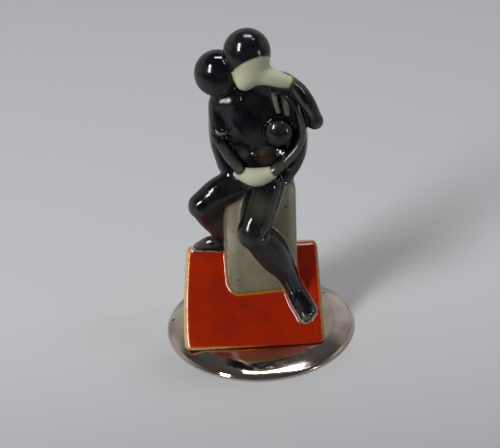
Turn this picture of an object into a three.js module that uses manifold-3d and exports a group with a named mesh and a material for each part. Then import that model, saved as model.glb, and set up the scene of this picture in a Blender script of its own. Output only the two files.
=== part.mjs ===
// Glazed ceramic group of an embracing seated couple, on a round plated metal base.
// Millimetres, +Z up, the front of the group towards -Y, origin under the middle of the base.

import * as THREE from 'three';
import { mergeVertices } from 'three/addons/utils/BufferGeometryUtils.js';
import Module from 'manifold-3d';

const wasm = await Module();
wasm.setup();

// Driving sizes of the metal base
const DISC_RADIUS = 26;
const DISC_HEIGHT = 2.6;
const DISC_EDGE_BEVEL = 0.15;
const DISC_SIDES = 48;

// How steeply the disc's rim falls, in degrees at a radius, from its flat middle outwards
const DISC_TILTS = [[20.4, 0], [21.3, 12], [23.2, 16], [24.3, 20.2], [25.3, 24], [25.8, 60]];

// Driving sizes of the sloping orange plinth
const PLINTH_LEFT = -19.6;
const PLINTH_RIGHT = 17.0;
const PLINTH_FRONT = -14.95;
const PLINTH_RIDGE_FRONT = 7.0;
const PLINTH_RIDGE_BACK = 8.6;
const PLINTH_BACK = 13.0;
const PLINTH_BACK_DROP = 2.2;
const PLINTH_BACK_ROUNDING = 1.0;
const PLINTH_HEIGHT = 19.05;
const PLINTH_SWELL = 1.55;
const PLINTH_SWELL_REACH = 0.66;
const PLINTH_SLOPE_STEPS = 6;
const PLINTH_EDGE_RADIUS = 0.8;

// Driving sizes of the grey block that the couple sits on
const BLOCK_WIDTH = 18.9;
const BLOCK_DEPTH = 13.6;
const BLOCK_TOP = 45.4;
const BLOCK_FOOT = 6;
const BLOCK_CENTRE_X = 1.1;
const BLOCK_CENTRE_Y = 3.9;
const BLOCK_TURN_DEGREES = 2;
const BLOCK_CORNER_RADIUS = 1.5;
const BLOCK_WIDE_RADIUS = 2.8;
const BLOCK_EDGE_RADIUS = 1.0;

// Driving sizes of the couple
const HEAD_RADIUS = 6.0;
const BALL_RADIUS = 3.45;
const BALL_FLATTENING = 0.8;
const PLEAT_RADIUS = 0.8;

// Closeness at which two vertices of a geometry count as one
const MERGE_DISTANCE = 1e-4;

const at = (x, y, z) => new THREE.Vector3(x, y, z);

// Joins and cuts

function solid(geometry) {
  const bare = geometry.clone();
  bare.deleteAttribute('normal');
  bare.deleteAttribute('uv');
  const merged = mergeVertices(bare, MERGE_DISTANCE);
  const mesh = new wasm.Mesh({
    numProp: 3,
    vertProperties: merged.attributes.position.array,
    triVerts: Uint32Array.from(merged.index.array),
  });
  return new wasm.Manifold(mesh);
}

function joined(geometries) {
  const solids = geometries.map(solid);
  return solids.reduce((whole, piece) => whole.add(piece));
}

function geometryOf(manifold) {
  const { vertProperties, triVerts } = manifold.getMesh();
  const geometry = new THREE.BufferGeometry();
  geometry.setAttribute('position', new THREE.BufferAttribute(vertProperties, 3));
  geometry.setIndex(new THREE.BufferAttribute(triVerts, 1));
  geometry.computeVertexNormals();
  return geometry;
}

// A round limb along a smooth curve through its joints. Each joint has its own radius, both
// ends are rounded, and depth widens or flattens the limb from front to back.
function limb(joints, radii, { sides = 12, steps = 8, cap = 2, depth = 1 } = {}) {
  const rows = steps + 2 * cap;
  const geometry = new THREE.SphereGeometry(1, sides, rows);
  const curve = new THREE.CatmullRomCurve3(joints, false, 'centripetal');
  const position = geometry.attributes.position;
  const depthAxis = at(0, 1, 0);
  const vertex = new THREE.Vector3();
  for (let i = 0; i < position.count; i += 1) {
    vertex.fromBufferAttribute(position, i);
    const row = Math.round((Math.acos(THREE.MathUtils.clamp(vertex.y, -1, 1)) / Math.PI) * rows);
    const along = THREE.MathUtils.clamp((row - cap) / steps, 0, 1);
    const beyond = row < cap ? row / cap - 1 : Math.max(0, (row - cap - steps) / cap);
    const angle = (beyond * Math.PI) / 2;
    const place = along * (radii.length - 1);
    const before = Math.min(Math.floor(place), radii.length - 2);
    const radius = THREE.MathUtils.lerp(radii[before], radii[before + 1], place - before);
    const turn = Math.atan2(vertex.x, vertex.z);
    const tangent = curve.getTangent(along);
    const front = depthAxis.clone().addScaledVector(tangent, -depthAxis.dot(tangent)).normalize();
    const side = new THREE.Vector3().crossVectors(tangent, front);
    const width = row === 0 || row === rows ? 0 : radius * Math.cos(angle);
    const point = curve.getPoint(along);
    point.addScaledVector(tangent, radius * Math.sin(angle));
    point.addScaledVector(front, -width * depth * Math.cos(turn));
    point.addScaledVector(side, width * Math.sin(turn));
    position.setXYZ(i, point.x, point.y, point.z);
  }
  return geometry;
}

// A ball or an egg, leaning sideways by a number of degrees
function egg(centre, radii, leanDegrees = 0, sides = 18, rows = 10) {
  const geometry = new THREE.SphereGeometry(1, sides, rows);
  geometry.rotateX(Math.PI / 2);
  geometry.scale(radii.x, radii.y, radii.z);
  geometry.rotateY(THREE.MathUtils.degToRad(leanDegrees));
  geometry.translate(centre.x, centre.y, centre.z);
  return geometry;
}

function ball(centre, radius) {
  return egg(centre, at(radius, radius, radius), 0, 20, 14);
}

// The plinth: a wedge with a sloping front, a narrow ridge, a short fall behind it and an
// upright back. Its left side swells a little.
function plinth() {
  const top = DISC_HEIGHT + PLINTH_HEIGHT;
  const shoulder = top - PLINTH_BACK_DROP;
  const fall = PLINTH_BACK_DROP / (PLINTH_BACK - PLINTH_RIDGE_BACK);
  const profile = new THREE.Shape();
  profile.moveTo(PLINTH_BACK, DISC_HEIGHT);
  profile.lineTo(PLINTH_BACK, shoulder - PLINTH_BACK_ROUNDING);
  profile.quadraticCurveTo(
    PLINTH_BACK, shoulder, PLINTH_BACK - PLINTH_BACK_ROUNDING, shoulder + PLINTH_BACK_ROUNDING * fall,
  );
  profile.lineTo(PLINTH_RIDGE_BACK, top);
  profile.lineTo(PLINTH_RIDGE_FRONT, top);
  for (let step = 1; step <= PLINTH_SLOPE_STEPS; step += 1) {
    const down = step / PLINTH_SLOPE_STEPS;
    const y = THREE.MathUtils.lerp(PLINTH_RIDGE_FRONT, PLINTH_FRONT, down);
    profile.lineTo(y, THREE.MathUtils.lerp(top, DISC_HEIGHT, down));
  }
  const geometry = new THREE.ExtrudeGeometry(profile, {
    depth: PLINTH_RIGHT - PLINTH_LEFT - 2 * PLINTH_EDGE_RADIUS,
    curveSegments: 3,
    bevelThickness: PLINTH_EDGE_RADIUS,
    bevelSize: PLINTH_EDGE_RADIUS,
    bevelOffset: -PLINTH_EDGE_RADIUS,
    bevelSegments: 2,
  });
  geometry.rotateX(Math.PI / 2);
  geometry.rotateZ(Math.PI / 2);
  geometry.translate(PLINTH_LEFT + PLINTH_EDGE_RADIUS, 0, 0);
  const position = geometry.attributes.position;
  const run = PLINTH_RIDGE_FRONT - PLINTH_FRONT;
  for (let i = 0; i < position.count; i += 1) {
    const down = THREE.MathUtils.clamp((PLINTH_RIDGE_FRONT - position.getY(i)) / run, 0, 1);
    const isLeft = position.getX(i) < 0;
    const swell = isLeft ? PLINTH_SWELL * Math.sin(PLINTH_SWELL_REACH * Math.PI * down) : 0;
    position.setX(i, position.getX(i) - swell);
  }
  return geometry;
}

// The block: an upright box with rounded corners, the front left one widest, turned a little
function block() {
  const corners = [
    [1, 1, BLOCK_CORNER_RADIUS], [-1, 1, BLOCK_CORNER_RADIUS],
    [-1, -1, BLOCK_WIDE_RADIUS], [1, -1, BLOCK_CORNER_RADIUS],
  ];
  const outline = new THREE.Shape();
  corners.forEach(([sideX, sideY, radius], quarter) => {
    const start = (quarter * Math.PI) / 2;
    const centreX = sideX * (BLOCK_WIDTH / 2 - radius);
    const centreY = sideY * (BLOCK_DEPTH / 2 - radius);
    outline.absarc(centreX, centreY, radius, start, start + Math.PI / 2);
  });
  const geometry = new THREE.ExtrudeGeometry(outline, {
    depth: BLOCK_TOP - BLOCK_FOOT - 2 * BLOCK_EDGE_RADIUS,
    curveSegments: 3,
    bevelThickness: BLOCK_EDGE_RADIUS,
    bevelSize: BLOCK_EDGE_RADIUS,
    bevelOffset: -BLOCK_EDGE_RADIUS,
    bevelSegments: 2,
  });
  geometry.rotateZ(THREE.MathUtils.degToRad(BLOCK_TURN_DEGREES));
  geometry.translate(BLOCK_CENTRE_X, BLOCK_CENTRE_Y, BLOCK_FOOT + BLOCK_EDGE_RADIUS);
  return geometry;
}

// The front figure: head at the left, arms meeting on the lap, one leg bent back
function frontFigure() {
  const head = at(-8.2, 3.5, 75.9);
  const shoulderLeft = at(-8.6, 2.6, 67.6);
  const elbowLeft = at(-8.9, -0.3, 59.9);
  const wristLeft = at(-3.9, -4.9, 52.6);
  const hipLeft = at(-4.4, 0.5, 45.4);
  const kneeLeft = at(-14.3, -2.0, 40.7);
  const heelLeft = at(-10.4, 7.1, 23.2);
  const toeLeft = at(-16.2, 7.5, 22.4);
  const hipRight = at(2.9, -2.0, 45.6);
  const kneeRight = at(-0.9, -6.4, 33.6);
  const ankleRight = at(9.8, -3.7, 13.7);
  const toeRight = at(12.9, -8.8, 8.3);

  const neck = limb([at(-6.8, 3.2, 72.4), at(-3.6, 2.4, 68.2)], [3.0, 4.6], { steps: 3 });
  const chest = egg(at(-1.6, 2.8, 62.4), at(7.5, 5.6, 9.6), 4);
  const belly = egg(at(0.6, 3.2, 52.6), at(9.4, 5.6, 7.0));
  const lap = egg(at(0.3, 0.8, 48.0), at(6.4, 5.4, 3.9), 0, 16, 8);
  const upperArm = limb([shoulderLeft, elbowLeft], [2.3, 1.9], { steps: 4 });
  const forearm = limb([elbowLeft, at(-6.3, -3.2, 55.5), wristLeft], [1.7, 1.4, 1.35], { depth: 1.3 });
  const hands = limb([at(-3.9, -4.9, 51.3), at(0, -5.3, 50.1), at(4.2, -4.9, 50.8)], [1.6, 2.4, 1.7]);
  const otherArm = limb(
    [at(9.9, -0.6, 71.5), at(12.1, -1.4, 65.1), at(12.5, -2, 59.8), at(10.9, -2.8, 56.3),
      at(8.1, -3.8, 53.5), at(5.2, -4.8, 51.7)],
    [1.0, 1.25, 1.3, 1.3, 1.3, 1.4],
    { sides: 10, steps: 13, depth: 1.3 },
  );
  const thighLeft = limb([hipLeft, at(-10.0, -1.3, 43.8), kneeLeft], [4.4, 3.95, 3.4], { sides: 14 });
  const shinLeft = limb(
    [kneeLeft, at(-12.6, 1.4, 35.1), at(-11.0, 4.3, 30.2), at(-10.5, 6.2, 27.0), heelLeft],
    [3.3, 3.0, 2.3, 1.8, 1.8],
  );
  const calfLeft = limb(
    [at(-10.4, 0.4, 40.5), at(-10.1, 2.7, 34.7), at(-9.2, 5.2, 27.5)],
    [3.4, 2.7, 1.4],
    { steps: 4 },
  );
  const footLeft = limb([heelLeft, at(-12.6, 7.2, 23.8), toeLeft], [2.1, 2.35, 1.2], { steps: 5 });
  const thighRight = limb([hipRight, at(0.9, -4.4, 39.6), kneeRight], [4.3, 4.6, 3.8], { sides: 14 });
  const shinRight = limb(
    [at(-0.9, -5.8, 33.2), at(2.6, -3.8, 28.0), at(4.8, -3.4, 24.0), at(7.3, -3.2, 19.6), ankleRight],
    [3.6, 4.45, 4.05, 2.85, 2.1],
    { steps: 10, depth: 1.2 },
  );
  const footRight = limb([ankleRight, at(10.9, -5.8, 11.1), toeRight], [2.1, 2.2, 1.6], { steps: 5 });
  const toesRight = limb([at(12.2, -8.8, 7.7), at(14.1, -7.6, 8.7)], [1.5, 1.5], { sides: 10, steps: 2 });

  return [
    ball(head, HEAD_RADIUS), neck, chest, belly, lap, upperArm, forearm, hands, otherArm,
    thighLeft, shinLeft, calfLeft, footLeft, thighRight, shinRight, footRight, toesRight,
  ];
}

// The rear figure: head at the top, face bent to the front figure, one hand at the cheek and
// that elbow held out, the other arm round the front figure's side, and a plain rounded back
function rearFigure() {
  const head = at(-0.6, 1.0, 82.3);
  const cuff = at(10.4, -1.0, 74.1);
  const elbow = at(16.2, 1.0, 62.2);
  const shoulder = at(8.6, 5.4, 66.5);

  const face = limb(
    [at(0.3, -0.2, 78.6), at(-1.1, -1.5, 76.6), at(-1.6, -2.0, 75.5)],
    [4.4, 3.2, 2.2],
    { steps: 4 },
  );
  const hand = limb(
    [at(2.0, -0.8, 77.4), at(3.9, -1.5, 76.8), at(7.1, -1.5, 75.5), cuff],
    [3.1, 2.6, 2.1, 1.6],
  );
  const sleeve = limb([cuff, at(12.2, -0.5, 71.6), at(14.4, 0.0, 67.6), elbow], [1.6, 2.0, 2.05, 2.1]);
  const upperArm = limb([elbow, at(13.2, 3.4, 63.2), shoulder], [2.0, 2.4, 3.2], { steps: 5 });
  const neck = limb([at(0.3, 3.2, 77.0), at(1.2, 4.8, 70.0)], [3.8, 5.2], { steps: 3 });
  const shoulders = limb(
    [at(-6.9, 4.6, 66.4), at(0.5, 5.8, 68.2), at(7.8, 5.0, 66.6)],
    [3.3, 4.6, 4.2],
    { steps: 5 },
  );
  const back = egg(at(1.4, 5.2, 58.4), at(12.0, 6.6, 13.4), 0, 20, 12);
  const hips = egg(at(0.3, 4.6, 49.4), at(9.6, 6.4, 5.6), 0, 18, 8);
  const breast = egg(at(7.2, 2.8, 68.2), at(5.8, 4.2, 7.0));
  const underSleeve = limb(
    [at(4.8, 1.2, 74.2), at(9.6, 1.0, 72.2), at(12.6, 2.0, 64.0)],
    [2.8, 2.7, 2.6],
    { steps: 6 },
  );
  const side = limb(
    [at(10.2, 4, 66), at(11.1, 3.5, 60), at(11.0, 3, 54.5), at(9.4, 3, 49.4), at(6.6, 2.4, 46)],
    [3.0, 3.2, 3.3, 3.0, 2.8],
    { steps: 8, depth: 1.6 },
  );
  const otherArm = limb(
    [at(-8.2, 4.0, 68.6), at(-9.3, 4.1, 64.2), at(-9.5, 4, 59.7), at(-9.2, 3.6, 55.4), at(-7.9, 3, 51.4),
      at(-6.4, 2.4, 48.2)],
    [2.2, 1.8, 1.6, 1.6, 1.6, 1.6],
    { sides: 10, steps: 8, depth: 2.2 },
  );
  const pleats = [0, 2.15].map((shift) => limb(
    [at(5.0 + shift, -0.8, 72.7 - 0.3 * shift), at(5.8 + shift, -1.9, 69.7), at(6.5 + shift, -2.3, 66.8)],
    [PLEAT_RADIUS, PLEAT_RADIUS, PLEAT_RADIUS],
    { sides: 8, steps: 5 },
  ));
  const beadRadii = at(BALL_RADIUS, BALL_RADIUS * BALL_FLATTENING, BALL_RADIUS);
  const bead = egg(at(6.65, -2.4, 61.3), beadRadii, 0, 18, 12);

  return [
    ball(head, HEAD_RADIUS), face, hand, sleeve, underSleeve, upperArm, neck, shoulders, back, hips, breast,
    side, otherArm, ...pleats, bead,
  ];
}

// The base: a solid metal disc, flat in the middle, that curves down to a short upright edge
function discGeometry() {
  let height = DISC_HEIGHT;
  const points = [new THREE.Vector2(0, height)];
  DISC_TILTS.forEach(([radius, degrees], ring) => {
    if (ring > 0) {
      const [lastRadius, lastDegrees] = DISC_TILTS[ring - 1];
      const tilt = THREE.MathUtils.degToRad((degrees + lastDegrees) / 2);
      height -= (radius - lastRadius) * Math.tan(tilt);
    }
    points.push(new THREE.Vector2(radius, height));
  });
  points.push(new THREE.Vector2(DISC_RADIUS, height - DISC_EDGE_BEVEL));
  points.push(new THREE.Vector2(DISC_RADIUS, 0));
  points.push(new THREE.Vector2(0, 0));
  const geometry = new THREE.LatheGeometry(points.reverse(), DISC_SIDES);
  geometry.rotateX(Math.PI / 2);
  return geometryOf(solid(geometry));
}

// The scene

const group = new THREE.Group();

function add(name, geometry, material) {
  const mesh = new THREE.Mesh(geometry, material);
  mesh.name = name;
  group.add(mesh);
}

add(
  'ceramic_figure_group',
  geometryOf(joined([plinth(), block(), ...frontFigure(), ...rearFigure()])),
  new THREE.MeshStandardMaterial({ color: 0x1a1c20, roughness: 0.12, metalness: 0 }),
);

add(
  'plated_base_disc',
  discGeometry(),
  new THREE.MeshStandardMaterial({ color: 0xc9c7c2, roughness: 0.15, metalness: 1 }),
);

export default group;
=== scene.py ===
"""Glazed ceramic group of an embracing seated couple on a round plated base.

The form of the ceramic is worked out in millimetres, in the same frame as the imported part,
and each finished mesh is in metres.
"""
import math

import bpy
import numpy as np
from mathutils import Matrix, Quaternion, Vector


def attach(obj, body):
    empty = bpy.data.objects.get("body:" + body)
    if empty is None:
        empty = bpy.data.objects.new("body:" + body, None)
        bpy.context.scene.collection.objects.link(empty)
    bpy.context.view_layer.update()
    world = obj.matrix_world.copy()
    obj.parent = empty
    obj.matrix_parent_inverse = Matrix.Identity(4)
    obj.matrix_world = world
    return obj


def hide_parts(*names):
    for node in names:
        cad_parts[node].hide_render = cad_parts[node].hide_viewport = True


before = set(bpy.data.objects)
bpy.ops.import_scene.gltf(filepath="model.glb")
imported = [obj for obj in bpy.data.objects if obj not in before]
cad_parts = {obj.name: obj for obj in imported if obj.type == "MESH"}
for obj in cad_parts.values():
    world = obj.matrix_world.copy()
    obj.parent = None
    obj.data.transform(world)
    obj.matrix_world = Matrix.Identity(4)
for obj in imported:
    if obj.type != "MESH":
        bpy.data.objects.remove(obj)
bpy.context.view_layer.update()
MM = 0.001

# Camera
# It looks down at the group from the height of a person's eyes, through a long lens, and it
# is held a little out of level.
TURN = math.radians(-1.5)
HEIGHT_ANGLE = math.radians(30.45)
ROLL = math.radians(-2.45)
DISTANCE = 350.0
TARGET = Vector((-1.67, 0.0, 33.08))
LENS_MM = 94.02
SENSOR_MM = 36.0
CLIP_START_M = 0.01

towards_camera = Vector((
    math.sin(TURN) * math.cos(HEIGHT_ANGLE),
    -math.cos(TURN) * math.cos(HEIGHT_ANGLE),
    math.sin(HEIGHT_ANGLE),
))
level_right = (-towards_camera).cross(Vector((0, 0, 1))).normalized()
level_up = level_right.cross(-towards_camera)
camera_right = level_right * math.cos(ROLL) + level_up * math.sin(ROLL)
camera_up = level_up * math.cos(ROLL) - level_right * math.sin(ROLL)
camera_place = (TARGET + towards_camera * DISTANCE) * MM

camera_data = bpy.data.cameras.new("camera")
camera_data.lens = LENS_MM
camera_data.sensor_width = SENSOR_MM
camera_data.sensor_fit = "HORIZONTAL"
camera_data.clip_start = CLIP_START_M
camera = bpy.data.objects.new("camera", camera_data)
bpy.context.scene.collection.objects.link(camera)
camera_axes = Matrix((camera_right, camera_up, towards_camera)).transposed()
camera.matrix_world = Matrix.Translation(camera_place) @ camera_axes.to_4x4()
bpy.context.scene.camera = camera
bpy.context.scene.view_settings.view_transform = "Standard"


# Table and light
# A plain pale table that falls into shade well in front of the group, a room that is pale low
# down behind it and dark overhead. A window at the front left, strips overhead and a narrow
# low window at the right show as bright bars in the glaze.
TABLE_SIZE = 3000.0
TABLE_TONE = (0.47, 0.467, 0.472, 1.0)
TABLE_SHADE = (0.05, 0.05, 0.055, 1.0)
TABLE_SHADE_END = -0.22
TABLE_TONE_START = 0.03
TABLE_ROUGHNESS = 0.6
ROOM_BACK_TONES = [(0.0, 0.42), (0.60, 0.38), (0.70, 0.08), (1.0, 0.06)]
ROOM_FRONT_TONES = [(0.0, 0.10), (0.30, 0.09), (0.60, 0.07), (1.0, 0.05)]
ROOM_FRONT_END = -0.35
ROOM_BACK_START = 0.25
ROOM_BLUE = 1.03
ROOM_CLOUD_SCALE = 2.2
WINDOW_TINT = (0.96, 0.98, 1.0)
WINDOW_AIM = Vector((0, 0, 45))


def add_object(name, data):
    thing = bpy.data.objects.new(name, data)
    bpy.context.scene.collection.objects.link(thing)
    return thing


def mesh_from(name, vertices, faces):
    mesh = bpy.data.meshes.new(name)
    mesh.from_pydata([tuple(v) for v in vertices], [], [tuple(f) for f in faces])
    mesh.update()
    return mesh


def new_material(name):
    material = bpy.data.materials.new(name)
    material.use_nodes = True
    shader = material.node_tree.nodes["Principled BSDF"]
    return material, material.node_tree, shader


def node(tree, kind, *inputs, **settings):
    """A new node whose inputs, in order, are linked, set to plain values or left alone."""
    made = tree.nodes.new(kind)
    for name, setting in settings.items():
        setattr(made, name, setting)
    open_sockets = [socket for socket in made.inputs if socket.enabled]
    for socket, value in zip(open_sockets, inputs):
        if isinstance(value, bpy.types.NodeSocket):
            tree.links.new(value, socket)
        elif value is not None:
            socket.default_value = value
    return made


def output(tree, kind, *inputs, **settings):
    """The first output of such a node."""
    made = node(tree, kind, *inputs, **settings)
    return next(socket for socket in made.outputs if socket.enabled)


def stepped(tree, value, low, high, result=(0.0, 1.0)):
    """The first result below low and the second above high, with a soft step between."""
    return output(tree, "ShaderNodeMapRange", value, low, high, *result, interpolation_type="SMOOTHSTEP")


def mixed(tree, amount, first, second):
    return output(tree, "ShaderNodeMix", amount, first, second, data_type="RGBA")


def cloud(tree, place, scale, detail=2.0):
    """Soft noise around one half; scale counts its patches in one unit of the place."""
    return output(tree, "ShaderNodeTexNoise", place, scale, detail)


def tone_ramp(tree, value, tones):
    ramp_node = node(tree, "ShaderNodeValToRGB", value)
    ramp = ramp_node.color_ramp
    while len(ramp.elements) < len(tones):
        ramp.elements.new(1.0)
    for element, (place, tone) in zip(ramp.elements, tones):
        element.position = place
        element.color = (tone, tone, tone * ROOM_BLUE, 1.0)
    return ramp_node.outputs["Color"]


half_table = TABLE_SIZE * MM / 2
table_corners = np.array([(-1, -1, 0), (1, -1, 0), (1, 1, 0), (-1, 1, 0)]) * half_table
table = add_object("table", mesh_from("table", table_corners, [(0, 1, 2, 3)]))
table_paint, table_nodes, table_shader = new_material("table_paint")
table_place = node(table_nodes, "ShaderNodeTexCoord").outputs["Object"]
table_depth = node(table_nodes, "ShaderNodeSeparateXYZ", table_place).outputs["Y"]
table_light = stepped(table_nodes, table_depth, TABLE_SHADE_END, TABLE_TONE_START)
table_colour = mixed(table_nodes, table_light, TABLE_SHADE, TABLE_TONE)
table_nodes.links.new(table_colour, table_shader.inputs["Base Color"])
table_shader.inputs["Roughness"].default_value = TABLE_ROUGHNESS
table.data.materials.append(table_paint)

world = bpy.data.worlds.new("room")
bpy.context.scene.world = world
world.use_nodes = True
room = world.node_tree
room_shader = room.nodes["Background"]
room_way = node(room, "ShaderNodeTexCoord").outputs["Generated"]
room_parts = node(room, "ShaderNodeSeparateXYZ", room_way).outputs
room_behind = stepped(room, room_parts["Y"], ROOM_FRONT_END, ROOM_BACK_START)
room_front = tone_ramp(room, room_parts["Z"], ROOM_FRONT_TONES)
room_back = tone_ramp(room, room_parts["Z"], ROOM_BACK_TONES)
room.links.new(mixed(room, room_behind, room_front, room_back), room_shader.inputs["Color"])
room_strength = stepped(room, cloud(room, room_way, ROOM_CLOUD_SCALE), 0.35, 0.65, (0.7, 1.3))
room.links.new(room_strength, room_shader.inputs["Strength"])

# Each window: its name, the way it lies in, distance, width, height, power and roll in degrees
windows = [
    ("front_left_window", (-0.59, -0.48, 0.65), 900, 140, 540, 7.2, 22),
    ("roof_strip", (0.09, 0.25, 0.96), 1000, 440, 130, 3.9, 20),
    ("right_strip", (0.44, 0.03, 0.89), 1000, 40, 160, 0.5, 0),
    ("low_right_window", (0.85, -0.50, 0.12), 900, 55, 240, 0.75, 0),
]
for name, way, distance, width, height, power, roll in windows:
    light_data = bpy.data.lights.new(name, "AREA")
    light_data.shape = "RECTANGLE"
    light_data.size = width * MM
    light_data.size_y = height * MM
    light_data.energy = power
    light_data.color = WINDOW_TINT
    light = add_object(name, light_data)
    towards = Vector(way).normalized()
    light.location = (WINDOW_AIM + towards * distance) * MM
    rolled = towards.to_track_quat("Z", "Y") @ Quaternion((0, 0, 1), math.radians(roll))
    light.rotation_euler = rolled.to_euler()


# Plated base
# A round pressed metal plate, plated bright. Its middle is dished by a hair, its rim bends down
# to a short upright edge, and the plating is a little cloudy and pitted with age. The tilts are
# degrees of fall towards the rim at a radius.
DISC_RADIUS = 26.0
DISC_HEIGHT = 2.6
DISC_FOOT_BEVEL = 0.15
DISC_TILTS = [
    (0, 0), (11, 0), (12.5, -2), (20.2, -2), (21.3, 12), (23.2, 16), (25.3, 24), (25.8, 60),
]
DISC_LEVEL_RADIUS = 10.5
DISC_PROFILE_POINTS = 400
DISC_STEPS = 256
WELD_GAP = 0.001
PLATE = (0.62, 0.53, 0.45, 1.0)
PLATE_CLOUDED = (0.50, 0.41, 0.34, 1.0)
PIT = (0.05, 0.045, 0.04, 1.0)
PLATE_CLOUD_SCALE = 110.0
PLATE_GRAIN_SCALE = 1500.0
PLATE_GRAIN_DETAIL = 2.0
PLATE_PIT_SCALE = 900.0
PLATE_RELIEF = 0.06
WORN_RADIUS = 20.0
BRIGHT_RADIUS = 22.0
WORN_ROUGHNESS = 0.12
FINE_RELIEF_SHARE = 0.12


def new_group(name, inputs, outputs, kind="ShaderNodeTree"):
    """An empty node group with named sockets, and the sockets at its two ends."""
    group = bpy.data.node_groups.new(name, kind)
    for in_out, sockets in (("INPUT", inputs), ("OUTPUT", outputs)):
        for socket, holds in sockets.items():
            group.interface.new_socket(socket, in_out=in_out, socket_type="NodeSocket" + holds)
    return group, node(group, "NodeGroupInput").outputs, node(group, "NodeGroupOutput").inputs


def summed(tree, value, other, factor=1.0, shift=0.0):
    """The value with the other, times a factor, and a shift added."""
    share = output(tree, "ShaderNodeMath", other, factor, shift, operation="MULTIPLY_ADD")
    return output(tree, "ShaderNodeMath", value, share, operation="ADD")


# Broad clouds and fine grain over a surface, and the height that the two give it
cloudy_surface, given, gives = new_group(
    "cloudy_surface",
    {"Place": "Vector", "Broad Scale": "Float", "Fine Scale": "Float", "Fine Detail": "Float"},
    {"Broad": "Float", "Fine": "Float", "Height": "Float"},
)
broad_cloud = cloud(cloudy_surface, given["Place"], given["Broad Scale"])
fine_cloud = cloud(cloudy_surface, given["Place"], given["Fine Scale"], given["Fine Detail"])
cloudy_surface.links.new(broad_cloud, gives["Broad"])
cloudy_surface.links.new(fine_cloud, gives["Fine"])
cloudy_height = summed(cloudy_surface, broad_cloud, fine_cloud, FINE_RELIEF_SHARE)
cloudy_surface.links.new(cloudy_height, gives["Height"])

# A soft-edged mark on a surface: one within the inner distance and zero beyond the outer
surface_spot, given, gives = new_group(
    "surface_spot",
    {"Place": "Vector", "Centre": "Vector", "Inner": "Float", "Outer": "Float"},
    {"Mask": "Float"},
)
spot_gap = output(
    surface_spot, "ShaderNodeVectorMath", given["Place"], given["Centre"], operation="DISTANCE")
surface_spot.links.new(stepped(surface_spot, spot_gap, given["Outer"], given["Inner"]), gives["Mask"])


def spot(tree, place, centre_mm, inner, outer):
    """The mark around a place on the surface, in millimetres."""
    centre = tuple(c * MM for c in centre_mm)
    return output(
        tree, "ShaderNodeGroup", place, centre, inner * MM, outer * MM, node_tree=surface_spot)


def largest(tree, first, *others):
    result = first
    for other in others:
        result = output(tree, "ShaderNodeMath", result, other, operation="MAXIMUM")
    return result


def bumped(tree, height, depth_mm):
    bump = node(tree, "ShaderNodeBump")
    bump.inputs["Distance"].default_value = depth_mm * MM
    tree.links.new(height, bump.inputs["Height"])
    return bump.outputs["Normal"]


plate, plate_nodes, plate_shader = new_material("bright_plating")
plate_place = node(plate_nodes, "ShaderNodeTexCoord").outputs["Object"]
plate_surface = node(
    plate_nodes, "ShaderNodeGroup", plate_place, PLATE_CLOUD_SCALE, PLATE_GRAIN_SCALE,
    PLATE_GRAIN_DETAIL, node_tree=cloudy_surface,
).outputs
plate_clouds = plate_surface["Broad"]
pits = largest(
    plate_nodes,
    stepped(plate_nodes, cloud(plate_nodes, plate_place, PLATE_PIT_SCALE), 0.70, 0.76),
    spot(plate_nodes, plate_place, (-24.4, 2.7, 1.7), 0.3, 0.6),
    spot(plate_nodes, plate_place, (19.0, 11.0, 2.2), 0.3, 0.6),
)
plate_colour = mixed(plate_nodes, stepped(plate_nodes, plate_clouds, 0.40, 0.66), PLATE, PLATE_CLOUDED)
plate_colour = mixed(plate_nodes, pits, plate_colour, PIT)
plate_rough = stepped(plate_nodes, summed(plate_nodes, plate_clouds, pits), 0.35, 1.3, (0.05, 0.5))
from_middle = output(plate_nodes, "ShaderNodeVectorMath", plate_place, operation="LENGTH")
worn = stepped(plate_nodes, from_middle, BRIGHT_RADIUS * MM, WORN_RADIUS * MM, (0.0, WORN_ROUGHNESS))
plate_nodes.links.new(plate_colour, plate_shader.inputs["Base Color"])
plate_nodes.links.new(summed(plate_nodes, plate_rough, worn), plate_shader.inputs["Roughness"])
plate_normal = bumped(plate_nodes, plate_surface["Height"], PLATE_RELIEF)
plate_nodes.links.new(plate_normal, plate_shader.inputs["Normal"])
plate_shader.inputs["Metallic"].default_value = 1.0

# Geometry nodes that turn a profile, given as points in the XZ plane, about Z into a closed body
turned_plate, given, gives = new_group(
    "turned_plate",
    {"Profile": "Geometry", "Steps": "Int", "Unit": "Float", "Weld Gap": "Float", "Finish": "Material"},
    {"Body": "Geometry"},
    "GeometryNodeTree",
)
rows = node(turned_plate, "GeometryNodeAttributeDomainSize", given["Profile"]).outputs["Point Count"]
columns = output(turned_plate, "FunctionNodeIntegerMath", given["Steps"], 1, operation="ADD")
sheet = output(turned_plate, "GeometryNodeMeshGrid", None, None, columns, rows)
index = output(turned_plate, "GeometryNodeInputIndex")
column = output(turned_plate, "FunctionNodeIntegerMath", index, rows, operation="DIVIDE_FLOOR")
row = output(turned_plate, "FunctionNodeIntegerMath", index, rows, operation="FLOORED_MODULO")
row_place = output(
    turned_plate, "GeometryNodeSampleIndex", given["Profile"],
    output(turned_plate, "GeometryNodeInputPosition"), row, data_type="FLOAT_VECTOR",
)
turn_share = output(turned_plate, "ShaderNodeMath", column, given["Steps"], operation="DIVIDE")
angle = output(turned_plate, "ShaderNodeMath", turn_share, 2 * math.pi, operation="MULTIPLY")
turned_place = output(
    turned_plate, "ShaderNodeVectorRotate", row_place, None, angle, rotation_type="Z_AXIS")
place_in_metres = output(
    turned_plate, "ShaderNodeVectorMath", turned_place, given["Unit"], operation="SCALE")
body = output(turned_plate, "GeometryNodeSetPosition", sheet, None, place_in_metres)
body = output(turned_plate, "GeometryNodeMergeByDistance", body, None, given["Weld Gap"])
body = output(turned_plate, "GeometryNodeSetShadeSmooth", body)
body = output(turned_plate, "GeometryNodeRealizeInstances", body)
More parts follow.
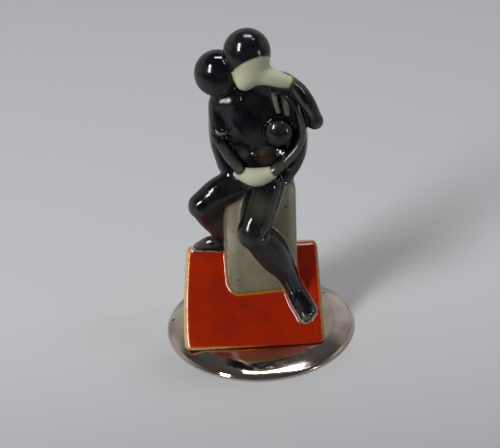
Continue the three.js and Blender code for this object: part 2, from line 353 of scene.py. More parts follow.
body = output(turned_plate, "GeometryNodeSetMaterial", body, None, given["Finish"])
turned_plate.links.new(body, gives["Body"])

tilt_radii, tilt_degrees = zip(*DISC_TILTS)
radii = np.linspace(0, tilt_radii[-1], DISC_PROFILE_POINTS)
slopes = -np.tan(np.radians(np.interp(radii, tilt_radii, tilt_degrees)))
heights = np.concatenate([[0], np.cumsum((slopes[1:] + slopes[:-1]) / 2 * np.diff(radii))])
heights += DISC_HEIGHT - heights.max()
kept = np.concatenate([[0], np.flatnonzero(radii > DISC_LEVEL_RADIUS)])
disc_profile = [(0, 0, 0), (DISC_RADIUS - DISC_FOOT_BEVEL, 0, 0), (DISC_RADIUS, 0, DISC_FOOT_BEVEL)]
disc_profile += [(DISC_RADIUS, 0, heights[-1] - DISC_FOOT_BEVEL)]
disc_profile += [(radii[i], 0, heights[i]) for i in kept[::-1]]

profile_mesh = mesh_from("disc_profile", disc_profile, [])
disc = add_object("plated_base", profile_mesh)
turning = disc.modifiers.new("turning", "NODES")
turning.node_group = turned_plate
turning_inputs = {"Steps": DISC_STEPS, "Unit": MM, "Weld Gap": WELD_GAP * MM, "Finish": plate}
for socket in turned_plate.interface.items_tree:
    if socket.name in turning_inputs:
        turning[socket.identifier] = turning_inputs[socket.name]
finished_disc = disc.evaluated_get(bpy.context.evaluated_depsgraph_get())
disc_mesh = bpy.data.meshes.new_from_object(finished_disc)
disc.modifiers.remove(turning)
disc.data = disc_mesh
bpy.data.meshes.remove(profile_mesh)
disc_mesh.name = "plated_base"
# The grid brings an empty material slot of its own, before the plating's
if disc_mesh.materials[0] is None:
    disc_mesh.materials.pop(index=0)
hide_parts("plated_base_disc")
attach(disc, "root")


# Ceramic casting
# One slip-cast and glazed piece: the sloping plinth, the block that rises from it and the
# couple. Its form is pressed together from rounded shapes whose joins are softened, as
# glaze fills them, on a fine grid, and then skinned with a mesh.
CELL = 0.38
GRID_LOW = np.array((-22.0, -15.8, 1.4))
GRID_HIGH = np.array((19.8, 14.6, 89.8))
REACH = 3.5
FAR = 4.0
LEAST_THICKNESS = 0.05
LEAST_SLOPE = 1e-6
UNSOFTENED = 0.01
PATH_SPANS = 6
BLUR_REACH = 3
CELL_CORNERS = [(i, j, k) for i in (0, 1) for j in (0, 1) for k in (0, 1)]

grid_axes = [np.arange(low, high, CELL, dtype=np.float32) for low, high in zip(GRID_LOW, GRID_HIGH)]
grid_shape = tuple(len(axis) for axis in grid_axes)


def soft_min(a, b, softness):
    overlap = np.maximum(softness - np.abs(a - b), 0) / softness
    return np.minimum(a, b) - overlap * overlap * softness / 4


def soft_max(a, b, softness):
    return -soft_min(-a, -b, softness)


def smooth_path(joints, radii):
    """Points and radii along a smooth curve that passes through every joint."""
    knots = np.hstack([np.array(joints, float), np.array(radii, float)[:, None]])
    knots = np.vstack([2 * knots[0] - knots[1], knots, 2 * knots[-1] - knots[-2]])
    rows = []
    for i in range(1, len(knots) - 2):
        p = knots[i - 1:i + 3]
        gaps = np.sqrt(np.linalg.norm(np.diff(p[:, :3], axis=0), axis=1))
        t = np.concatenate([[0], np.cumsum(gaps)])
        for u in np.linspace(t[1], t[2], PATH_SPANS, endpoint=False):
            a = [p[k] * (t[k + 1] - u) / gaps[k] + p[k + 1] * (u - t[k]) / gaps[k] for k in range(3)]
            b = [(a[k] * (t[k + 2] - u) + a[k + 1] * (u - t[k])) / (t[k + 2] - t[k]) for k in range(2)]
            rows.append(b[0] * (t[2] - u) / gaps[1] + b[1] * (u - t[1]) / gaps[1])
    rows.append(knots[-2])
    rows = np.array(rows)
    return rows[:, :3], np.maximum(rows[:, 3], LEAST_THICKNESS)


def limb(joints, radii, depth=1.0):
    """A round limb through its joints, deeper or flatter from front to back."""
    path, thickness = smooth_path(joints, radii)
    squeeze = np.array((1.0, 1.0 / depth, 1.0))
    centres = path * squeeze

    def distance(points):
        scaled = points * squeeze
        nearest = np.full(points.shape[:-1], np.inf, np.float32)
        for start, end, first, last in zip(centres[:-1], centres[1:], thickness[:-1], thickness[1:]):
            along = end - start
            place = np.clip(((scaled - start) @ along) / (along @ along), 0, 1)
            offset = scaled - start - place[..., None] * along
            gap = np.sqrt((offset * offset).sum(-1)) - (first + (last - first) * place)
            nearest = np.minimum(nearest, gap)
        return nearest

    widest = thickness.max() * max(1.0, depth)
    return distance, path.min(0) - widest, path.max(0) + widest


def leaning(degrees):
    """Axes for an egg that leans sideways."""
    turn = math.radians(degrees)
    cos, sin = math.cos(turn), math.sin(turn)
    return np.array(((cos, 0, -sin), (0, 1, 0), (sin, 0, cos)))


def facing(way, along):
    """Axes for a flat egg: its first radius runs along, and its third the way it faces."""
    third = np.array(way, float) / np.linalg.norm(way)
    first = np.array(along, float) - (np.array(along) @ third) * third
    first /= np.linalg.norm(first)
    return np.array((first, np.cross(third, first), third))


def egg(centre, radii, axes=np.eye(3)):
    """An egg-shaped mass whose three radii run along the axes."""
    middle = np.array(centre, float)
    radii = np.array(radii, float)

    def distance(points):
        local = (points - middle) @ axes.T
        near = np.sqrt(((local / radii) ** 2).sum(-1))
        slope = np.sqrt(((local / radii ** 2) ** 2).sum(-1))
        return near * (near - 1) / np.maximum(slope, LEAST_SLOPE)

    return distance, middle - radii.max(), middle + radii.max()


def grid_part(low, high):
    """The part of the grid around two corners, and the places of its points."""
    slices = []
    for axis, lowest, highest in zip(grid_axes, low, high):
        first = max(0, int(np.searchsorted(axis, lowest - REACH)) - 1)
        last = min(len(axis), int(np.searchsorted(axis, highest + REACH)) + 1)
        slices.append(slice(first, last))
    places = np.meshgrid(*[axis[part] for axis, part in zip(grid_axes, slices)], indexing="ij")
    return tuple(slices), np.stack(places, -1)


def empty_field():
    return np.full(grid_shape, FAR, np.float32)


def press_on(field, shape, softness):
    distance, low, high = shape
    part, points = grid_part(low, high)
    field[part] = soft_min(field[part], distance(points), softness)


def cut_in(field, shape, softness):
    distance, low, high = shape
    part, points = grid_part(low, high)
    field[part] = soft_max(field[part], -distance(points), softness)


# Plinth
# The orange wedge: a sloping front, a narrow ridge, a short fall and an upright back. Its
# left side swells, its front corners are rounded, and the glaze rounds all its edges.
PLINTH_LEFT = -19.6
PLINTH_RIGHT = 17.0
PLINTH_FRONT = -14.95
PLINTH_RIDGE_FRONT = 7.0
PLINTH_RIDGE_BACK = 8.6
PLINTH_BACK = 13.0
PLINTH_BACK_DROP = 2.2
PLINTH_TOP = DISC_HEIGHT + 19.05
PLINTH_SWELL = 1.55
PLINTH_SWELL_REACH = 0.66
PLINTH_EDGE_SOFTNESS = 1.7
PLINTH_CORNER_SOFTNESS = 3.0
PLINTH_RIDGE_SOFTNESS = 0.5
PLINTH_BACK_SOFTNESS = 1.0
PLINTH_FOOT_SOFTNESS = 0.5


def plinth_faces(points):
    """Distances in front of the plinth's slope, ridge, fall, back and two sides."""
    x, y, z = points[..., 0], points[..., 1], points[..., 2]
    run = PLINTH_RIDGE_FRONT - PLINTH_FRONT
    rise = PLINTH_TOP - DISC_HEIGHT
    slope = ((z - PLINTH_TOP) * run - (y - PLINTH_RIDGE_FRONT) * rise) / math.hypot(run, rise)
    fall_run = PLINTH_BACK - PLINTH_RIDGE_BACK
    fall = (y - PLINTH_RIDGE_BACK) * PLINTH_BACK_DROP + (z - PLINTH_TOP) * fall_run
    fall = fall / math.hypot(PLINTH_BACK_DROP, fall_run)
    down = np.clip((PLINTH_RIDGE_FRONT - y) / run, 0, 1)
    swell = PLINTH_SWELL * np.sin(PLINTH_SWELL_REACH * math.pi * down)
    return slope, z - PLINTH_TOP, fall, y - PLINTH_BACK, PLINTH_LEFT - swell - x, x - PLINTH_RIGHT


def plinth_distance(points):
    slope, ridge_top, fall, back, left, right = plinth_faces(points)
    profile = soft_max(slope, ridge_top, PLINTH_RIDGE_SOFTNESS)
    profile = soft_max(profile, fall, PLINTH_RIDGE_SOFTNESS)
    profile = soft_max(profile, back, PLINTH_BACK_SOFTNESS)
    sides = soft_max(np.maximum(left, right), PLINTH_FRONT - points[..., 1], PLINTH_CORNER_SOFTNESS)
    body = soft_max(profile, sides, PLINTH_EDGE_SOFTNESS)
    return soft_max(body, DISC_HEIGHT - points[..., 2], PLINTH_FOOT_SOFTNESS)


plinth_low = (PLINTH_LEFT - PLINTH_SWELL, PLINTH_FRONT, DISC_HEIGHT)
plinth_high = (PLINTH_RIGHT, PLINTH_BACK, PLINTH_TOP)
plinth_field = empty_field()
press_on(plinth_field, (plinth_distance, plinth_low, plinth_high), UNSOFTENED)

# Block
# The grey upright block that the couple sits on, turned a little and softly rounded, most of
# all at its front left edge.
BLOCK_HALF = np.array((9.45, 6.8, 20.0))
BLOCK_TOP = 45.4
BLOCK_CENTRE = np.array((1.1, 3.9, BLOCK_TOP - BLOCK_HALF[2]))
BLOCK_LOW = (-9.4, -3.4, 5.4)
BLOCK_HIGH = (11.5, 12.2, BLOCK_TOP)
BLOCK_TURN = math.radians(2)
BLOCK_ROUNDING = 1.5
BLOCK_WIDE_ROUNDING = 2.8


def block_distance(points):
    local = points - BLOCK_CENTRE
    cos, sin = math.cos(BLOCK_TURN), math.sin(BLOCK_TURN)
    turned_x = local[..., 0] * cos + local[..., 1] * sin
    turned_y = local[..., 1] * cos - local[..., 0] * sin
    wide = (turned_x < 0) & (turned_y < 0)
    rounding = np.where(wide, BLOCK_WIDE_ROUNDING, BLOCK_ROUNDING)
    gap_x = np.abs(turned_x) - BLOCK_HALF[0] + rounding
    gap_y = np.abs(turned_y) - BLOCK_HALF[1] + rounding
    corner = np.hypot(np.maximum(gap_x, 0), np.maximum(gap_y, 0))
    plan = corner + np.minimum(np.maximum(gap_x, gap_y), 0) - rounding
    return soft_max(plan, np.abs(local[..., 2]) - BLOCK_HALF[2], BLOCK_ROUNDING)


block_field = empty_field()
press_on(block_field, (block_distance, BLOCK_LOW, BLOCK_HIGH), UNSOFTENED)

# The couple
# Two smooth, faceless figures that lean into each other, modelled as rounded limbs over
# egg-shaped masses. What is cream is kept apart from what is dark, for the glazing, and where
# the two lie on each other, as on the top head, their softened join adds a tenth of a millimetre.
HEAD_RADIUS = 6.0
TOP_HEAD_RADIUS = 5.9
LEFT_HEAD = (-8.2, 3.5, 75.9)
TOP_HEAD = (-0.6, 1.0, 82.3)
TRUNK_SOFTNESS = 1.8
FOLD_SOFTNESS = 0.9
LIMB_SOFTNESS = 0.8
RECESS_SOFTNESS = 0.7

dark = empty_field()
cream = empty_field()

# Trunks, backs and the inner masses that join them
trunk = [
    limb([(-6.8, 3.2, 72.4), (-3.6, 2.4, 68.2)], [3.0, 4.6]),
    egg((-1.6, 2.8, 62.4), (7.5, 5.6, 9.6), leaning(4)),
    egg((0.6, 3.2, 52.6), (9.4, 5.6, 7.0)),
    egg((0.3, 0.8, 48.0), (6.4, 5.4, 3.9)),
    limb([(0.3, 3.2, 77.0), (1.2, 4.8, 70.0)], [3.8, 5.2]),
    limb([(-6.9, 4.6, 66.4), (0.5, 5.8, 68.2), (7.8, 5.0, 66.6)], [3.3, 4.6, 4.2]),
    egg((1.4, 5.2, 58.4), (12.0, 6.6, 13.4)),
    egg((0.3, 4.6, 49.4), (9.6, 6.4, 5.6)),
    egg((7.2, 2.8, 68.2), (5.8, 4.2, 7.0)),
    limb([(4.8, 1.2, 74.2), (9.6, 1.0, 72.2), (12.6, 2.0, 64.0)], [2.8, 2.7, 2.6]),
    limb([(10.2, 4, 66), (11.1, 3.5, 60), (11.0, 3, 54.5), (9.4, 3, 49.4), (6.6, 2.4, 46)],
         [3.0, 3.2, 3.3, 3.0, 2.8], 1.6),
    limb([(-8.2, 4.0, 68.6), (-9.3, 4.1, 64.2), (-9.5, 4, 59.7), (-9.2, 3.6, 55.4), (-7.9, 3, 51.4),
          (-6.4, 2.4, 48.2)], [2.2, 1.8, 1.6, 1.6, 1.6, 1.6], 2.2),
]
for mass in trunk:
    press_on(dark, mass, TRUNK_SOFTNESS)

# The hollow lap under the jacket's lower edge, the socket round the ball and the gap beside
# the sleeve, with the belly that shows in the hollow and the flatter places, on the shoulder,
# in the lap and over the ball, that face the window
hollows = [
    (limb([(-5.7, -3.2, 59.4), (-3.3, -3.5, 56.7), (0.5, -3.4, 54.7), (4.8, -3.4, 54.2),
           (8.0, -3.4, 55.0)], [0.9, 1.9, 2.2, 2.1, 1.3], 1.3), 0.6),
    (egg((6.9, -3.6, 60.9), (4.7, 3.6, 5.4)), 0.5),
    (limb([(-6.4, -2.0, 66.4), (-6.2, -2.2, 62.8)], [0.4, 0.75]), 0.6),
]
for shape, softness in hollows:
    cut_in(dark, shape, softness)
WINDOW_FACING = (-0.33, -0.745, 0.58)
swells = [
    (egg((1.4, 1.5, 54.6), (4.4, 3.2, 2.6)), 1.0),
    (egg((-4.8, -0.85, 70.7), (2.7, 1.9, 0.4), facing(WINDOW_FACING, (0.78, 0.1, 0.55))), 0.6),
    (egg((7.2, -1.7, 55.2), (1.8, 1.3, 0.5), facing(WINDOW_FACING, (1, 0, 0.3))), 0.5),
    (egg((-0.6, -1.45, 57.0), (1.4, 0.9, 0.35), facing(WINDOW_FACING, (1, 0, 0))), 0.4),
    (egg((-0.1, -1.45, 54.8), (1.4, 0.9, 0.35), facing(WINDOW_FACING, (1, 0, 0))), 0.4),
    (egg((-5.7, -1.45, 58.95), (1.6, 0.8, 0.3), facing(WINDOW_FACING, (1, 0, -0.2))), 0.4),
    (egg((4.6, -0.8, 65.0), (1.5, 0.9, 0.3), facing(WINDOW_FACING, (0.6, 0, 0.6))), 0.5),
    (egg((9.9, -0.9, 63.6), (1.1, 0.7, 0.3), facing(WINDOW_FACING, (0.5, 0, -0.8))), 0.4),
]
for shape, softness in swells:
    press_on(dark, shape, softness)

# Folds in the jackets: two over the chest, the socket's upper lip, one down the sleeve, one
# down the rear figure's side and three soft ones down the back
folds = [
    limb([(-4.9, -1.6, 64.6), (-3.8, -2.0, 62.4), (-2.4, -2.1, 60.4)], [0.3, 0.6, 0.4]),
    limb([(-0.2, -2.1, 63.9), (0.5, -2.0, 61.2), (1.0, -1.6, 59.4)], [0.3, 0.6, 0.4]),
    limb([(2.6, -1.0, 62.6), (3.2, -0.9, 64.6), (4.6, -0.7, 66.0), (6.2, -0.8, 66.0)],
         [0.4, 0.7, 0.8, 0.5]),
    limb([(8.6, -0.8, 65.4), (10.0, -1.0, 64.0), (10.6, -1.3, 62.2)], [0.4, 0.6, 0.4]),
    limb([(-9.5, 1.0, 69.0), (-9.3, 0.0, 65.7), (-9.0, -1.2, 62.4)], [0.4, 0.5, 0.4]),
    limb([(13.2, -0.6, 63.2), (13.3, -0.7, 59.5), (12.9, -0.8, 56.0), (11.3, -1.0, 52.4),
          (8.6, -2.2, 50.2)], [0.3, 0.6, 0.65, 0.6, 0.4]),
    limb([(1.3, 10.7, 67.5), (0.4, 11.6, 60.0), (0.9, 11.0, 50.5)], [0.3, 0.8, 0.4]),
    limb([(6.0, 9.7, 66.0), (7.2, 10.9, 58.0), (5.2, 10.2, 49.5)], [0.3, 0.8, 0.4]),
    limb([(-4.6, 9.6, 65.0), (-5.4, 10.7, 57.5), (-3.6, 10.2, 49.5)], [0.3, 0.7, 0.4]),
]
for fold in folds:
    press_on(dark, fold, FOLD_SOFTNESS)

# Arms, sleeves, legs and feet, and the kneecap of the right leg
limbs = [
    limb([(-8.6, 2.6, 67.6), (-8.9, -0.3, 59.9)], [2.3, 1.9]),
    limb([(-8.9, -0.3, 59.9), (-6.3, -3.2, 55.5), (-3.9, -4.9, 52.6)], [1.7, 1.5, 1.35], 1.3),
    limb([(16.2, 1.0, 62.2), (13.2, 3.4, 63.2), (8.6, 5.4, 66.5)], [2.0, 2.4, 3.2]),
    limb([(10.4, -1.0, 74.1), (12.2, -0.5, 71.6), (14.4, 0.0, 67.6), (16.2, 1.0, 62.2)],
         [1.6, 2.0, 2.05, 2.1]),
    limb([(-4.4, 0.5, 45.4), (-10.0, -1.3, 43.8), (-14.3, -2.0, 40.7)], [4.4, 3.95, 3.4]),
    limb([(-14.3, -2.0, 40.7), (-12.6, 1.4, 35.1), (-11.0, 4.3, 30.2), (-10.5, 6.2, 27.0),
          (-10.4, 7.1, 23.2)], [3.3, 3.0, 2.3, 1.8, 1.8]),
    limb([(-10.4, 0.4, 40.5), (-10.1, 2.7, 34.7), (-9.2, 5.2, 27.5)], [3.4, 2.7, 1.4]),
    limb([(-10.4, 7.1, 23.2), (-12.4, 7.2, 23.5), (-16.2, 7.5, 22.4)], [2.0, 2.05, 1.2]),
    limb([(2.9, -2.4, 45.6), (0.9, -3.9, 40.0), (-0.9, -6.4, 33.8)], [4.3, 4.4, 4.0]),
    limb([(-0.9, -5.8, 33.2), (2.6, -3.8, 28.0), (4.8, -3.4, 24.0), (7.3, -3.2, 19.6), (9.8, -3.7, 13.7)],
         [3.6, 4.45, 4.05, 2.85, 2.1], 1.2),
    limb([(9.8, -3.7, 13.7), (10.8, -5.8, 11.1), (12.2, -8.9, 8.1)], [2.1, 2.2, 1.45]),
    limb([(10.0, -3.6, 13.4), (12.2, -5.6, 11.1), (13.6, -7.5, 9.3)], [1.9, 1.8, 1.4]),
    limb([(12.2, -8.9, 8.1), (13.6, -7.5, 9.3)], [1.45, 1.4]),
]
for shape in limbs:
    press_on(dark, shape, LIMB_SOFTNESS)
press_on(dark, egg((-1.7, -7.1, 34.8), (3.3, 3.4, 3.6)), TRUNK_SOFTNESS)

# The recess between the held-out sleeve and the arm across, and the crease behind the knee
recesses = [
    limb([(9.4, -2.5, 73.4), (11.0, -2.7, 70.2), (12.5, -2.7, 67.0), (13.8, -2.4, 63.6)],
         [0.4, 0.9, 1.0, 0.8]),
    limb([(8.9, -2.6, 71.6), (9.8, -3.0, 68.8), (10.3, -3.2, 66.0)], [0.2, 0.4, 0.4]),
    limb([(1.0, -10.2, 34.0), (2.6, -8.6, 35.2), (4.4, -6.0, 36.6)], [0.2, 0.5, 0.8]),
]
for shape in recesses:
    cut_in(dark, shape, RECESS_SOFTNESS)

# The arm across, heads, fingers on the shoulder, sleeve edges and the ball
details = [
    (limb([(9.9, -0.6, 71.5), (12.1, -1.4, 65.1), (12.5, -2, 59.8), (10.9, -2.8, 56.3),
           (8.1, -3.8, 53.5), (5.2, -4.8, 51.7)], [1.0, 1.1, 1.15, 1.2, 1.3, 1.4], 1.3), 0.7),
    (egg(LEFT_HEAD, (HEAD_RADIUS,) * 3), 0.6),
    (egg(TOP_HEAD, (TOP_HEAD_RADIUS,) * 3), 0.6),
    (limb([(4.9, -0.7, 73.2), (5.75, -1.6, 71.2), (6.2, -2.1, 69.2), (6.7, -2.4, 67.1)],
          [0.6, 0.75, 0.75, 0.7]), 0.4),
    (limb([(7.3, -0.9, 72.7), (8.1, -1.6, 70.4), (8.6, -2.0, 68.4), (8.9, -1.9, 66.4)],
          [0.6, 0.95, 1.15, 1.1]), 0.4),
    (limb([(9.8, -2.3, 74.3), (11.4, -2.2, 71.5), (13.0, -2.0, 68.8), (14.6, -1.7, 66.0),
           (15.3, -1.1, 63.6)], [0.35, 0.65, 0.7, 0.7, 0.4]), 0.5),
    (limb([(-9.9, -0.9, 62.0), (-8.5, -2.1, 61.5), (-6.9, -1.9, 61.4)], [0.4, 0.5, 0.4]), 0.5),
    (limb([(-8.2, -1.0, 72.0), (-6.7, -1.4, 73.0), (-5.4, -1.4, 74.5)], [0.3, 0.45, 0.3]), 0.4),
    (egg((6.65, -2.3, 61.3), (3.75, 3.0, 3.75)), 0.3),
]
for shape, softness in details:
    press_on(dark, shape, softness)

# The cream face, the hand at the cheek and the joined hands on the lap
FACE_INSET = 0.05
cream_shapes = [
    (egg(TOP_HEAD, (TOP_HEAD_RADIUS - FACE_INSET,) * 3), UNSOFTENED),
    (limb([(0.3, -0.2, 78.6), (-1.1, -1.5, 76.6), (-1.6, -2.0, 75.5)], [4.4, 3.1, 2.2]), 2.0),
    (limb([(2.0, -0.8, 77.4), (3.9, -1.5, 76.8), (7.1, -1.5, 75.5), (10.2, -1.1, 74.2)],
          [3.1, 2.5, 2.0, 1.45]), 1.0),
    (limb([(-3.9, -4.9, 51.3), (0, -5.3, 50.1), (4.2, -4.9, 50.8)], [1.6, 2.4, 1.7]), 0.8),
]
for shape, softness in cream_shapes:
    press_on(cream, shape, softness)

# How far the glaze fills the creases: where cream meets dark, at the block's foot and where
# the couple touches the stand
CREAM_FILLET = 0.5
BLOCK_FILLET = 1.2
COUPLE_FILLET = 1.5
figures = soft_min(dark, cream, CREAM_FILLET)
stand = soft_min(plinth_field, block_field, BLOCK_FILLET)
casting = soft_min(stand, figures, COUPLE_FILLET)


def skin(field):
    """Vertices and quads where the field passes through zero, in grid steps."""
    inside = field < 0
    # One vertex in each cell that the surface crosses, at the mean of its crossings
    counts = sum(
        inside[tuple(slice(s, n - 1 + s) for s, n in zip(corner, inside.shape))].astype(np.int8)
        for corner in CELL_CORNERS
    )
    cells = np.argwhere((counts > 0) & (counts < len(CELL_CORNERS)))
    values = {corner: field[tuple((cells + corner).T)] for corner in CELL_CORNERS}
    total = np.zeros((len(cells), 3))
    crossings = np.zeros(len(cells))
    for start in CELL_CORNERS:
        for axis in range(3):
            if start[axis]:
                continue
            end = tuple(1 if a == axis else s for a, s in enumerate(start))
            a, b = values[start], values[end]
            crossed = (a < 0) != (b < 0)
            place = np.where(crossed, a / np.where(crossed, a - b, 1), 0)
            point = np.array(start, float) + place[:, None] * np.eye(3)[axis]
            total += point * crossed[:, None]
            crossings += crossed
    vertices = cells + total / crossings[:, None]
    # One quad round each grid edge that the surface crosses, facing outwards
    index = np.full(counts.shape, -1, np.int32)
    index[tuple(cells.T)] = np.arange(len(cells))
    quads = []
    for axis in range(3):
        one, two = [a for a in range(3) if a != axis]
        low = np.take(inside, np.arange(inside.shape[axis] - 1), axis)
        high = np.take(inside, np.arange(1, inside.shape[axis]), axis)
        edges = np.argwhere(low != high)
        edges = edges[(edges[:, one] > 0) & (edges[:, two] > 0)]
        edges = edges[(edges[:, one] < index.shape[one]) & (edges[:, two] < index.shape[two])]
        around = []
        for step_one, step_two in ((1, 1), (0, 1), (0, 0), (1, 0)):
            cell = edges.copy()
            cell[:, one] -= step_one
            cell[:, two] -= step_two
            around.append(index[tuple(cell.T)])
        quad = np.stack(around, 1)
        entering = inside[tuple((edges + np.eye(3, dtype=int)[axis]).T)]
        flipped = entering if axis != 1 else ~entering
        quad[flipped] = quad[flipped][:, ::-1]
        quads.append(quad)
    return vertices, np.concatenate(quads)


def sampled(field, places):
    """The field's value at places given in grid steps, blended between grid points."""
    base = np.clip(np.floor(places).astype(int), 0, np.array(field.shape) - 2)
    part = places - base
    result = np.zeros(len(places))
    for corner in CELL_CORNERS:
        weight = np.abs(1 - np.array(corner) - part).prod(-1)
        result += weight * field[tuple((base + corner).T)]
    return result


def blurred(field, width):
    """The field softened over a width in grid steps."""
    reach = int(BLUR_REACH * width)
    weights = np.exp(-0.5 * (np.arange(-reach, reach + 1) / width) ** 2)
    weights /= weights.sum()
    for axis in range(3):
        margins = [(reach, reach) if a == axis else (0, 0) for a in range(3)]
        padded = np.pad(field, margins, mode="edge")
        places = np.arange(field.shape[axis])
        field = sum(w * np.take(padded, places + i, axis) for i, w in enumerate(weights))
    return field


def quad_mesh(name, vertices, quads):
    mesh = bpy.data.meshes.new(name)
    mesh.vertices.add(len(vertices))
    mesh.vertices.foreach_set("co", vertices.astype(np.float32).ravel())
    mesh.loops.add(len(quads) * 4)
    mesh.loops.foreach_set("vertex_index", quads.astype(np.int32).ravel())
    mesh.polygons.add(len(quads))
    mesh.polygons.foreach_set("loop_start", np.arange(len(quads), dtype=np.int32) * 4)
    mesh.update(calc_edges=True)
    mesh.validate()
    return mesh


steps_at, faces_at = skin(casting)
places_mm = GRID_LOW + steps_at * CELL
ceramic_mesh = quad_mesh("ceramic_group", places_mm * MM, faces_at)
ceramic_mesh.shade_smooth()

# Marks for the glazes, at each vertex: how far it lies inside each colour's area, how sharp
# an edge it lies on, how far it faces down, and how far it is from the stand, from the plinth
# and from the plinth's edges
RIDGE_BLUR = 2.2
CAP_LINE_WAY = np.array((-0.31, 0.62, 0.72))
CAP_LINE_DROP = 3.54
CAP_LINE_BAND = 0.35
LEFT_HEAD_GAP = 0.4
FACE_LEFT = -4.4
LEFT_EDGE_WIDTH = 1.0
RIGHT_EDGE_WIDTH = 0.6
FOOT_EDGE_WIDTH = 0.25
WIDEST_FOOT_EDGE = 0.75
WIDE_FOOT_EDGE_END = 6.0


def plinth_edge_mark(points):
    """Zero on the plinth's edges and one where the body of the glaze begins."""
    slope, ridge_top, fall, back, left, right = plinth_faces(points)
    around = np.maximum.reduce([slope, ridge_top, fall, back])
    bottom = DISC_HEIGHT - points[..., 2]
    foot_span = (PLINTH_LEFT, WIDE_FOOT_EDGE_END)
    foot_width = np.interp(points[..., 0], foot_span, (WIDEST_FOOT_EDGE, FOOT_EDGE_WIDTH))
    return np.minimum.reduce([
        np.hypot(around, left) / LEFT_EDGE_WIDTH,
        np.hypot(around, right) / RIGHT_EDGE_WIDTH,
        np.hypot(slope, ridge_top) / FOOT_EDGE_WIDTH,
        np.hypot(fall, ridge_top) / FOOT_EDGE_WIDTH,
        np.hypot(fall, back) / RIGHT_EDGE_WIDTH,
        np.hypot(np.maximum(around, np.maximum(left, right)), bottom) / foot_width,
    ])


def with_cap_line(mark, points):
    """The cream mark, with the top head's face above zero only below the edge of its cap."""
    below = CAP_LINE_WAY @ np.array(TOP_HEAD) - CAP_LINE_DROP - points @ CAP_LINE_WAY
    off_left_head = np.linalg.norm(points - LEFT_HEAD, axis=-1) - HEAD_RADIUS - LEFT_HEAD_GAP
    on_head = np.linalg.norm(points - TOP_HEAD, axis=-1) < HEAD_RADIUS + CAP_LINE_BAND
    inside = np.minimum.reduce([below, off_left_head, points[..., 0] - FACE_LEFT])
    return np.where(on_head, inside, mark)


normals = np.empty(len(ceramic_mesh.vertices) * 3, np.float32)
ceramic_mesh.vertex_normals.foreach_get("vector", normals)
marks = {
    "figure": sampled(stand - figures, steps_at),
    "block": sampled(plinth_field - block_field, steps_at),
    "cream": with_cap_line(sampled(dark - cream, steps_at), places_mm),
    "ridge": sampled(blurred(casting, RIDGE_BLUR) - casting, steps_at),
    "underside": -normals.reshape(-1, 3)[:, 2],
    "off_stand": sampled(stand, steps_at),
    "off_plinth": sampled(plinth_field, steps_at),
    "plinth_edge": plinth_edge_mark(places_mm),
}
for mark, values in marks.items():
    layer = ceramic_mesh.attributes.new(mark, "FLOAT", "POINT")
    layer.data.foreach_set("value", values.astype(np.float32))

# The glazes, brushed on by colour and melted together: near black that thins to olive grey and
# brown on ridges, cream on the face and hands, specked grey on the block and orange on the
# plinth, which all run thin and pale at their edges. The brown and olive patches on the black,
# in the lap hollow, on the left calf and on the right thigh, are painted reflections, and the
# block's grey is painted darker towards its foot as painted shade
BLUE_BLACK = (0.002, 0.002, 0.004, 1.0)
BROWN_BLACK = (0.010, 0.009, 0.010, 1.0)
THIN_BLACK = (0.135, 0.122, 0.098, 1.0)
# Colours of the painted reflections on the black glaze
REFLECTED_BROWN = (0.062, 0.036, 0.024, 1.0)
REFLECTED_OLIVE = (0.05, 0.045, 0.034, 1.0)
BARE_RIM = (0.26, 0.23, 0.15, 1.0)
CREAM = (0.51, 0.505, 0.35, 1.0)
CREAM_EDGE = (0.22, 0.21, 0.12, 1.0)
GREY = (0.29, 0.262, 0.182, 1.0)
OLIVE_GREY = (0.232, 0.204, 0.131, 1.0)
# Colour of the painted shade low on the block
PAINTED_SHADE_GREY = (0.14, 0.12, 0.065, 1.0)
PALE_GREY = (0.36, 0.34, 0.25, 1.0)
OLIVE = (0.14, 0.10, 0.02, 1.0)
STAIN = (0.05, 0.03, 0.02, 1.0)
SPECK = (0.05, 0.045, 0.04, 1.0)
ORANGE = (0.315, 0.0145, 0.0003, 1.0)
DEEP_ORANGE = (0.235, 0.009, 0.0002, 1.0)
YELLOW_ORANGE = (0.42, 0.13, 0.01, 1.0)
BARE_EDGE = (0.50, 0.34, 0.16, 1.0)
GLAZE_CLOUD_SCALE = 170.0
GLAZE_GRAIN_SCALE = 1100.0
GLAZE_GRAIN_DETAIL = 3.0
GLAZE_RELIEF = 0.05
# Heights in millimetres over which the block's grey is painted darker towards its foot, as painted shade
PAINTED_SHADE_TOP = 34.0
PAINTED_SHADE_FULL = 12.0

ceramic = add_object("ceramic_group", ceramic_mesh)
glaze, glaze_nodes, glaze_shader = new_material("brushed_glazes")


def mark_value(name):
    return node(glaze_nodes, "ShaderNodeAttribute", attribute_name=name).outputs["Fac"]


def wavering(name, waver):
    """A mark whose edge wavers with the grain, by half of the waver each way."""
    return summed(glaze_nodes, mark_value(name), glaze_grain, waver, -waver / 2)


def glaze_step(value, low, high, result=(0.0, 1.0)):
    return stepped(glaze_nodes, value, low, high, result)


def glaze_spot(centre_mm, inner, outer):
    return spot(glaze_nodes, glaze_place, centre_mm, inner, outer)


def layered(base, layers):
    """A colour with others laid over it in turn, each where its mask is one."""
    for mask, colour in layers:
        base = mixed(glaze_nodes, mask, base, colour)
    return base


glaze_place = node(glaze_nodes, "ShaderNodeTexCoord").outputs["Object"]
glaze_height = node(glaze_nodes, "ShaderNodeSeparateXYZ", glaze_place).outputs["Z"]
glaze_surface = node(
    glaze_nodes, "ShaderNodeGroup", glaze_place, GLAZE_CLOUD_SCALE, GLAZE_GRAIN_SCALE,
    GLAZE_GRAIN_DETAIL, node_tree=cloudy_surface,
).outputs
glaze_clouds, glaze_grain = glaze_surface["Broad"], glaze_surface["Fine"]
ridge = wavering("ridge", 0.12)
off_stand = wavering("off_stand", 0.5)
off_plinth = wavering("off_plinth", 0.9)
plinth_edge = wavering("plinth_edge", 0.9)
cream_mark = wavering("cream", 0.3)
block_mark = wavering("block", 0.4)

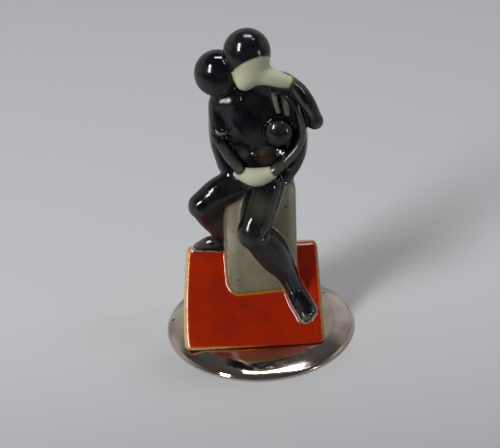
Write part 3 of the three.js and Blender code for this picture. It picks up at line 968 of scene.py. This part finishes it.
black = layered(BLUE_BLACK, [
    (glaze_step(glaze_clouds, 0.35, 0.80), BROWN_BLACK),
    (glaze_step(ridge, 0.11, 0.42), THIN_BLACK),
    # Painted reflections: brown and olive in the lap hollow, brown on the left calf, olive on the right
    # thigh
    (glaze_spot((2.9, -1.6, 54.6), 0.6, 3.2), REFLECTED_BROWN),
    (glaze_spot((-2.8, -1.4, 55.0), 0.0, 2.4), REFLECTED_OLIVE),
    (glaze_spot((-11.6, 3.0, 32.5), 2.0, 8.0), REFLECTED_BROWN),
    (glaze_spot((1.4, -7.6, 42.0), 0.0, 5.5), REFLECTED_OLIVE),
    (glaze_step(off_stand, 0.75, 0.15), BARE_RIM),
    (glaze_step(off_plinth, 0.95, 0.5), BARE_RIM),
])
cream_glaze = layered(CREAM_EDGE, [(glaze_step(cream_mark, 0.05, 0.45), CREAM)])
grey = layered(GREY, [
    (glaze_step(glaze_clouds, 0.40, 0.62), OLIVE_GREY),
    (glaze_step(ridge, 0.10, 0.42), PALE_GREY),
    # Painted shade: the block's grey darkens towards its foot
    (glaze_step(glaze_height, PAINTED_SHADE_TOP * MM, PAINTED_SHADE_FULL * MM, (0.0, 0.6)), PAINTED_SHADE_GREY),
    (glaze_step(off_plinth, 1.5, 0.2), OLIVE),
    (glaze_step(glaze_grain, 0.64, 0.73, (0.0, 0.4)), STAIN),
    (glaze_spot((-5.3, -3.12, 17.5), 0.2, 0.42), SPECK),
    (glaze_spot((7.9, -2.66, 39.3), 0.1, 0.8), STAIN),
])
orange = layered(ORANGE, [
    (glaze_step(glaze_clouds, 0.30, 0.72), DEEP_ORANGE),
    (glaze_step(plinth_edge, 1.7, 1.0), YELLOW_ORANGE),
    (glaze_step(plinth_edge, 1.15, 0.75), BARE_EDGE),
    (glaze_step(block_mark, -0.6, -0.1), YELLOW_ORANGE),
])
figure_glaze = layered(black, [(glaze_step(cream_mark, -0.08, 0.08), cream_glaze)])
glaze_colour = layered(orange, [
    (glaze_step(block_mark, -0.1, 0.1), grey),
    (glaze_step(mark_value("figure"), -0.08, 0.08), figure_glaze),
])
glaze_nodes.links.new(glaze_colour, glaze_shader.inputs["Base Color"])
dull = glaze_step(mark_value("underside"), -0.05, 0.4, (0.0, 0.42))
glaze_rough = summed(glaze_nodes, glaze_step(glaze_clouds, 0.35, 0.65, (0.08, 0.20)), dull)
glaze_nodes.links.new(glaze_rough, glaze_shader.inputs["Roughness"])
glaze_normal = bumped(glaze_nodes, glaze_surface["Height"], GLAZE_RELIEF)
glaze_nodes.links.new(glaze_normal, glaze_shader.inputs["Normal"])
ceramic.data.materials.append(glaze)
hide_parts("ceramic_figure_group")
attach(ceramic, "root")
